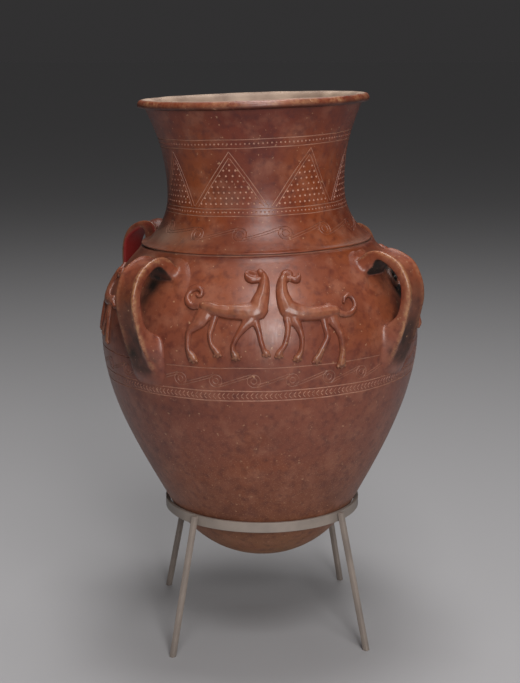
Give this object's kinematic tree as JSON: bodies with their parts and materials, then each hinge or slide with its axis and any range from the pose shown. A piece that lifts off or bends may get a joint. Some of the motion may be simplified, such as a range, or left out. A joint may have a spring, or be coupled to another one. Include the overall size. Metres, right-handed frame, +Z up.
{
  "type": "relief vase",
  "caption": "Tall red clay storage vase with strap handles, flared neck and applied relief animals, standing by its round base in a legged ring stand.",
  "frame": {"origin": "on the floor, on the axis of the stand's ring", "axes": "+Z up out of the vase's mouth, -Y towards the front panel, +X to the right of it"},
  "size_m": [0.4146, 0.4152, 0.6971],
  "materials": {
    "clay": "burnished red slip on fired clay, worn, satin",
    "painted_steel": "warm grey paint, satin"
  },
  "bodies": {
    "stand": {"stand_ring": "painted_steel", "stand_leg_1": "painted_steel", "stand_leg_2": "painted_steel", "stand_leg_3": "painted_steel", "stand_leg_4": "painted_steel"},
    "vase": {"base_bowl": "clay", "lower_wall": "clay", "shoulder_wall": "clay", "neck": "clay", "rim_lip": "clay", "handle_front_left": "clay", "handle_front_right": "clay", "handle_back_right": "clay", "handle_back_left": "clay", "beast_front_1": "clay", "beast_front_2": "clay", "beast_right_1": "clay", "beast_right_2": "clay", "beast_back_1": "clay", "beast_back_2": "clay", "beast_left_1": "clay", "beast_left_2": "clay"}
  },
  "joints": [
    {"name": "vase_lift", "type": "slide", "parent": "stand", "child": "vase", "axis": [0, 0, 1], "range_m": [0, 0.12]}
  ]
}
